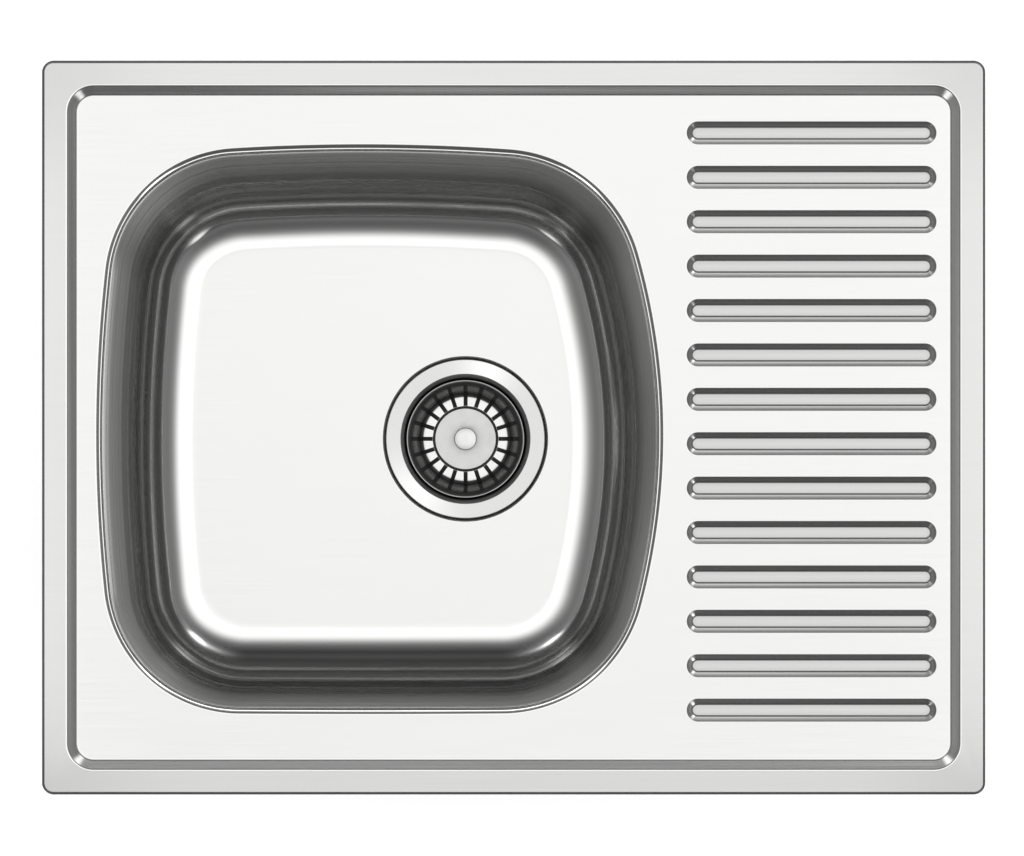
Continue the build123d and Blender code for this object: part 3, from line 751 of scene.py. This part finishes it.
def add_groove(sheet, number):
    """One groove of the drainboard; its outer loop is left to the field."""
    y = GROOVE_CENTRE[1] + (number - (GROOVES - 1) / 2) * GROOVE_PITCH
    outline = slot((GROOVE_CENTRE[0], y), GROOVE_LENGTH, GROOVE_WIDTH)
    low = FIELD_TOP - GROOVE_DEPTH
    section = rounded_section(
        [
            (-GROOVE_STRIP, FIELD_TOP),
            (0, FIELD_TOP),
            (GROOVE_SLOPE, low),
            (GROOVE_WIDTH / 2 - GROOVE_SPINE, low - GROOVE_CROWN),
        ],
        radii=[GROOVE_BEND, GROOVE_FLOOR_BEND],
        steps=[5, 6],
    )
    # painted shade lines along the groove's bends and a painted darker floor
    loops = sheet.rings(
        outline, filled(section, longest=0.7), shade=lambda z, up: level_at(FIELD_TOP - z, GROOVE_PAINTED_SHADE)
    )
    sheet.flat_fill(loops[-1], [])
    return loops[0]


def make_sink():
    sheet = Sheet(SHEET)
    rim = add_rim(sheet)
    ramp = add_ramp(sheet)
    sheet.bridge(rim[-1], ramp[0])
    bowl = add_bowl(sheet)
    seat = add_seat(sheet, bowl[-1])
    sheet.bridge(bowl[-1], seat[0])
    grooves = [add_groove(sheet, number) for number in range(GROOVES)]
    sheet.flat_fill(ramp[-1], [bowl[0]] + grooves)
    return sheet.build("pressed_sheet", SHEET_STEEL, "sink")


# ---- the waste's flange and the basket, all turned about the drain ----
def drain_section(corners, radii, steps):
    """A section by radius and height above the bowl's floor, without repeated points."""
    outer = corners[0][0]
    moved = [(outer - radius, FLOOR_TOP + height) for radius, height in corners]
    samples = rounded_section(moved, radii, steps)
    kept = [samples[0]]
    for sample in samples[1:]:
        if np.hypot(sample[0] - kept[-1][0], sample[1] - kept[-1][1]) > SAME_POINT:
            kept.append(sample)
    return kept


def spoke_gap(number, steps=12):
    """The gap between two spokes of the cup's floor, counter-clockwise."""
    sector = 2 * math.pi / SPOKES
    far = math.asin(SPOKE_WIDTH / 2 / CUP_OPENING)
    near = math.asin(SPOKE_WIDTH / 2 / HUB_RADIUS)
    outward = np.linspace(number * sector + far, (number + 1) * sector - far, steps)
    inward = np.linspace((number + 1) * sector - near, number * sector + near, steps)
    turn = np.concatenate([outward, inward])
    radius = np.concatenate([np.full(steps, CUP_OPENING), np.full(steps, HUB_RADIUS)])
    return np.stack([DRAIN[0] + radius * np.cos(turn), DRAIN[1] + radius * np.sin(turn)], 1)


def make_flange(segments=144):
    sheet = Sheet(SHEET)
    turn = np.linspace(0, 2 * math.pi, segments, endpoint=False)
    brim_highlight = sum(soft_peak(turn, *place) for place in BRIM_HIGHLIGHT_PLACES)

    # painted highlights on the brim and painted shade in the cup
    def shade(height, normal_up):
        level = height - FLOOR_TOP
        if level > BRIM_FACE[0] and normal_up > BRIM_FACE[1]:
            return BRIM_PAINTED_SHADE + BRIM_PAINTED_HIGHLIGHT * brim_highlight
        return level_at(level, CUP_PAINTED_SHADE)

    section = drain_section(BRIM + CUP, radii=[0.9, 1.2, 1.2, 3.0, 3.0], steps=[6, 5, 5, 6, 6])
    loops = sheet.rings(circle(DRAIN, BRIM[0][0], segments), section, shade=shade)
    sheet.rim(loops[0], True)
    # painted shade on the cup's floor
    sheet.shade = CUP_PAINTED_SHADE[0][1]
    gaps = []
    for number in range(SPOKES):
        outline = spoke_gap(number)
        level = np.full((len(outline), 1), FLOOR_TOP + CUP[-1][1])
        up = np.tile([0.0, 0.0, 1.0], (len(outline), 1))
        gap = sheet.add(np.concatenate([outline, level], 1), up)
        sheet.rim(gap, False)
        gaps.append(gap)
    sheet.flat_fill(loops[-1], gaps)
    return sheet.build("flange_pressing", WASTE_STEEL, "sink")


def basket_columns(radius, between=4):
    """Angles of the columns at a radius: both edges and the middle of every slot, and between."""
    reach = math.asin(SLOT_WIDTH / 2 / min(max(radius, SLOT_START), SLOT_END))
    pitch = 2 * math.pi / BASKET_SLOTS
    steps = reach + (pitch - 2 * reach) * np.arange(1, between + 1) / (between + 1)
    offsets = np.concatenate([[-reach, 0.0, reach], steps])
    starts = math.pi / 2 + pitch * np.arange(BASKET_SLOTS)
    return (starts[:, None] + offsets).ravel()


def make_basket():
    sheet = Sheet(SHEET)
    section = drain_section(
        BASKET_RIM + BASKET_WALL, radii=[0.35, 0.3, 0.0, 1.6, 2.4, 0.0], steps=[4, 4, 1, 5, 5, 1]
    )
    loops, radii = [], []
    for inward, height, normal_in, normal_up in filled(section, longest=1.3):
        radius = float(BASKET_RIM[0][0] - inward)
        turn = basket_columns(radius)
        outward = np.stack([np.cos(turn), np.sin(turn)], 1)
        base = np.array(DRAIN) + radius * outward
        # painted shade on the basket's walls
        sheet.shade = level_at(radius, BASKET_PAINTED_SHADE)
        loops.append(sheet.ring((base, outward), 0.0, height, normal_in, normal_up))
        radii.append(radius)
    per_slot = len(loops[0]) // BASKET_SLOTS
    columns = np.arange(len(loops[0]))
    slotted = columns % per_slot < 2
    first = min(index for index, radius in enumerate(radii) if radius < SLOT_END + SLOT_SLACK)
    last = max(index for index, radius in enumerate(radii) if radius > SLOT_START - SLOT_SLACK)
    for index in range(len(loops) - 1):
        outer, inner = loops[index], loops[index + 1]
        kept = ~slotted if first <= index < last else np.full(len(columns), True)
        following = np.roll(columns, -1)
        quads = np.stack([outer, outer[following], inner[following], inner], 1)[kept]
        sheet.faces.extend(quads.tolist())
    for number in range(BASKET_SLOTS):
        left = number * per_slot
        edge = [loops[first][left + step] for step in range(3)]
        edge += [loops[index][left + 2] for index in range(first + 1, last)]
        edge += [loops[last][left + step] for step in (2, 1, 0)]
        edge += [loops[index][left] for index in range(last - 1, first, -1)]
        sheet.rim(np.array(edge), False)
    sheet.rim(loops[0], True)
    sheet.flat_fill(loops[-1], [])
    return sheet.build("basket_pressing", WASTE_STEEL, "basket")


def make_disc(segments=128):
    sheet = Sheet(SHEET)
    section = drain_section(DISC, radii=[0.2, 0.5], steps=[3, 5])
    outline = circle(DRAIN, DISC[0][0], segments)
    # painted shade on the disc's edge
    loops = sheet.rings(outline, section, shade=lambda height, up: level_at(up, DISC_PAINTED_SHADE))
    sheet.rim(loops[0], True)
    sheet.shade = DISC_PAINTED_SHADE[-1][1]
    sheet.flat_fill(loops[-1], [])
    return sheet.build("disc_pressing", DISC_STEEL, "basket")


def make_knob(segments=96):
    """The knob as one turned solid: its neck, the flare under its head and a shallow dome."""
    top = KNOB_TOP - KNOB[-1][1]
    radius = (KNOB[-1][0] ** 2 + top**2) / (2 * top)
    shoulder = (KNOB_SHOULDER[0], KNOB[-1][1] + KNOB_SHOULDER[1])
    flare = rounded_section(KNOB + [shoulder], radii=[1.2, 0.8, 0.7], steps=[6, 5, 6])
    profile = [(r, z, -normal_r, -normal_z) for r, z, normal_r, normal_z in flare]
    dome_edge, dome_tip, dome_loops = KNOB_DOME
    for angle in np.linspace(math.asin(dome_edge / radius), dome_tip, dome_loops):
        sine, cosine = math.sin(angle), math.cos(angle)
        profile.append((radius * sine, KNOB_TOP - radius * (1 - cosine), sine, cosine))
    turn = np.linspace(0, 2 * math.pi, segments, endpoint=False)
    points, normals, faces = [], [], []
    for r, z, normal_r, normal_z in profile:
        points += [(DRAIN[0] + r * math.cos(a), DRAIN[1] + r * math.sin(a), FLOOR_TOP + z) for a in turn]
        normals += [(normal_r * math.cos(a), normal_r * math.sin(a), normal_z) for a in turn]
    for row in range(len(profile) - 1):
        for column in range(segments):
            after = (column + 1) % segments
            low, high = row * segments, (row + 1) * segments
            faces.append((low + column, low + after, high + after, high + column))
    faces.append(tuple(range(segments))[::-1])
    faces.append(tuple((len(profile) - 1) * segments + column for column in range(segments)))
    mesh = bpy.data.meshes.new("knob_turning")
    mesh.from_pydata((np.array(points) * MM).tolist(), [], faces)
    mesh.polygons.foreach_set("use_smooth", [True] * len(faces))
    corners = np.empty(len(mesh.loops), int)
    mesh.loops.foreach_get("vertex_index", corners)
    mesh.normals_split_custom_set(np.array(normals)[corners].tolist())
    return finished("knob_turning", mesh, KNOB_STEEL, "basket")


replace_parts(make_sink(), "sink_body")
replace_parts(make_flange(), "strainer_flange")
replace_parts(make_basket(), "basket_strainer")
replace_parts(make_disc(), "basket_disc")
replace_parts(make_knob(), "basket_knob")


# ---- the frame's own pieces ----
NODE_MATERIALS = {
    "sealing_strip": FOAM,
    "sound_pad": BITUMEN,
    "flange_gasket": RUBBER,
    "waste_gasket": RUBBER,
    "thread_insert": BRASS,
    "centre_screw": SCREW_STEEL,
    "basket_seal": RUBBER,
    "basket_guide": GREY_PLASTIC,
    "basket_rivet": SCREW_STEEL,
}


def node_material(name, node):
    """The material of one of the frame's pieces, or None where a piece of this script replaces it."""
    low, high = (bound(corner[2] for corner in node.bound_box) for bound in (min, max))
    if name.startswith("clamp_screw"):
        start = low + SCREW_HEAD_HEIGHT
        return threaded(SCREW_STEEL, name + "_thread", node, SCREW_PITCH, SCREW_THREAD_DEPTH, start, high)
    if name == "waste_body":
        end = low + OUTLET_THREAD
        return threaded(WHITE_PLASTIC, "outlet_thread", node, OUTLET_PITCH, OUTLET_THREAD_DEPTH, low, end)
    if name.startswith(("rail_", "clamp_hook", "clamp_claw")):
        return ZINC
    return NODE_MATERIALS.get(name)


for name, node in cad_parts.items():
    material = node_material(name, node)
    if material is not None:
        node.data.materials.clear()
        node.data.materials.append(material)


# ---- the floor, the light and the camera ----
FLOOR_SIZE = 12.0
FLOOR_GLOW = 0.5
FLOOR_TONE = 0.9
FLOOR_ROUGHNESS = 0.9
LIGHT = 1.43  # the strength of all of it
PANEL_LEVEL = 1.06
PANEL_ACROSS = (0.10, 0.69)  # middle and half width by the tangent of the angle
PANEL_ALONG = (0.03, 0.565)
PANEL_EDGE = 6.5  # how sharply it ends
PANEL_ROUND = 3.0  # how square the panel is: 2 is an oval
HOLE_LEVEL = 0.86  # how bright the panel is straight overhead, where it is dimmer
HOLE_SLOPE = (0.25, 0.7)  # how fast that rises to the right and to the back
HOLE_FALL = 13.0
HOLE_EDGE = (0.092, 0.110)
LOWEST_UP = 0.02  # keeps the tangents finite at the horizon
LOWEST_SINE = 0.01  # and overhead
# brightness by the angle from overhead, in degrees
FRONT_WALL = [(0, 0.0), (30, 0.10), (58, 0.10), (64, 0.06), (74, 0.08), (80, 0.9), (90, 0.9)]
SIDE_WALLS = [
    (0, 0.0), (32, 0.16), (46, 0.19), (53, 0.17), (60, 0.13), (66, 0.12), (70, 0.20), (75, 0.22),
    (80, 0.9), (90, 0.9),
]
BACK_WALL = [
    (0, 0.0), (30, 0.09), (56, 0.11), (61, 0.14), (63, 0.55), (66.5, 0.55), (70, 0.18), (75, 0.14),
    (79, 1.4), (90, 1.4),
]
BACK_SPAN = (0.3, 0.9)  # where a wall comes in, by the sine of its direction
SIDE_SPAN = (0.6, 0.9)
SOFTBOXES = [  # direction, angle from overhead, strength
    (50, 72, 1.2), (128, 71.5, 1.2), (233, 74, 1.3), (308, 73, 1.3),
]
SOFTBOX_EDGE = (12.0, 4.0)  # degrees off its middle where it starts and where it is full
CAMERA_HEIGHT = 4.0  # above the rim
FRAME_WIDTH = 0.69438  # what the view spans at the rim
CAMERA_AT = (-0.0011, -0.0003)
CAMERA_SENSOR = 36.0
CAMERA_CLIP = (0.1, 30.0)


def make_floor():
    """A pale floor under the part, which glows a little where it is seen."""
    material, graph, shader = new_material("pale_floor")
    rays = graph.nodes.new("ShaderNodeLightPath").outputs
    seen = graph.maths("MAXIMUM", rays["Is Camera Ray"], rays["Is Glossy Ray"])
    seen = graph.maths("MAXIMUM", seen, rays["Is Transmission Ray"])
    inputs = {
        "Base Color": (FLOOR_TONE, FLOOR_TONE, FLOOR_TONE, 1),
        "Roughness": FLOOR_ROUGHNESS,
        "Emission Color": (1, 1, 1, 1),
        "Emission Strength": graph.maths("MULTIPLY", seen, FLOOR_GLOW),
    }
    for socket, value in inputs.items():
        graph.feed(value, shader.inputs[socket])
    mesh = bpy.data.meshes.new("floor")
    low = cad_box[0][2]
    half = FLOOR_SIZE / 2
    corners = [(-half, -half, low), (half, -half, low), (half, half, low), (-half, half, low)]
    mesh.from_pydata(corners, [], [(0, 1, 2, 3)])
    mesh.materials.append(material)
    floor = bpy.data.objects.new("floor", mesh)
    bpy.context.scene.collection.objects.link(floor)


def panel_light(graph, across, along):
    """The soft panel overhead, dimmer round the camera and a little more so to the left and to the front."""
    maths = graph.maths
    far = []
    for value, (middle, half) in ((across, PANEL_ACROSS), (along, PANEL_ALONG)):
        off = maths("DIVIDE", maths("ABSOLUTE", maths("SUBTRACT", value, middle)), half)
        far.append(maths("POWER", off, PANEL_ROUND))
    fading = maths("POWER", maths("ADD", *far), PANEL_EDGE / PANEL_ROUND)
    panel = maths("DIVIDE", 1.0, maths("ADD", fading, 1.0))

    slopes = [maths("MULTIPLY", value, slope) for value, slope in zip((across, along), HOLE_SLOPE)]
    squares = [maths("MULTIPLY", value, value) for value in (across, along)]
    fall = maths("MULTIPLY", maths("ADD", *squares), -HOLE_FALL)
    hole = maths("ADD", maths("ADD", maths("ADD", *slopes), HOLE_LEVEL), fall)
    farther = maths("MAXIMUM", maths("ABSOLUTE", across), maths("ABSOLUTE", along))
    outside = graph.ranged(farther, 0.0, 1.0, *HOLE_EDGE)
    hole = maths("ADD", hole, maths("MULTIPLY", maths("SUBTRACT", 1.0, hole), outside))
    return maths("MULTIPLY", maths("MULTIPLY", panel, hole), PANEL_LEVEL)


def wall_light(graph, x, y, polar):
    """The four walls, each with its own brightness by the angle from overhead."""
    maths = graph.maths
    turned = maths("DIVIDE", polar, math.pi / 2)
    sine = maths("MAXIMUM", maths("SINE", polar), LOWEST_SINE)
    backward = graph.ranged(maths("DIVIDE", y, sine), 0.0, 1.0, *BACK_SPAN)
    sideward = graph.ranged(maths("ABSOLUTE", maths("DIVIDE", x, sine)), 0.0, 1.0, *SIDE_SPAN)
    walls = graph.ramp(turned, FRONT_WALL)
    for share, levels in ((backward, BACK_WALL), (sideward, SIDE_WALLS)):
        walls = graph.mixed(share, walls, graph.ramp(turned, levels))
    return walls


def softbox_light(graph, direction, azimuth, height, strength):
    """One round softbox."""
    turn, tilt = math.radians(azimuth), math.radians(height)
    aim = graph.nodes.new("ShaderNodeVectorMath")
    aim.operation = "DOT_PRODUCT"
    graph.feed(direction, aim.inputs[0])
    aim.inputs[1].default_value = (
        math.cos(turn) * math.sin(tilt), math.sin(turn) * math.sin(tilt), math.cos(tilt)
    )
    edge = [math.cos(math.radians(angle)) for angle in SOFTBOX_EDGE]
    return graph.ranged(aim.outputs["Value"], 0.0, strength, *edge)


def make_world():
    """A long soft panel overhead, dim walls, four softboxes on the diagonals and a bright horizon."""
    world = bpy.data.worlds.new("studio")
    bpy.context.scene.world = world
    world.use_nodes = True
    graph = Graph(world.node_tree)
    direction = graph.place("Generated")
    x, y, z = graph.axes(direction)
    up = graph.maths("MAXIMUM", z, LOWEST_UP)
    across, along = (graph.maths("DIVIDE", value, up) for value in (x, y))
    light = panel_light(graph, across, along)
    light = graph.maths("ADD", light, wall_light(graph, x, y, graph.maths("ARCCOSINE", z)))
    for softbox in SOFTBOXES:
        light = graph.maths("ADD", light, softbox_light(graph, direction, *softbox))
    light = graph.maths("MULTIPLY", light, LIGHT)
    rays = graph.nodes.new("ShaderNodeLightPath")
    background = graph.nodes["Background"]
    graph.feed(graph.maths("MAXIMUM", light, rays.outputs["Is Camera Ray"]), background.inputs["Color"])
    background.inputs["Strength"].default_value = 1.0


def make_camera():
    camera = bpy.data.cameras.new("camera")
    camera.sensor_width = CAMERA_SENSOR
    camera.lens = CAMERA_SENSOR * CAMERA_HEIGHT / FRAME_WIDTH
    camera.clip_start, camera.clip_end = CAMERA_CLIP
    holder = bpy.data.objects.new("camera", camera)
    holder.location = (*CAMERA_AT, RIM_TOP * MM + CAMERA_HEIGHT)
    bpy.context.scene.collection.objects.link(holder)
    bpy.context.scene.camera = holder


make_floor()
make_world()
make_camera()
bpy.context.scene.view_settings.view_transform = "Standard"
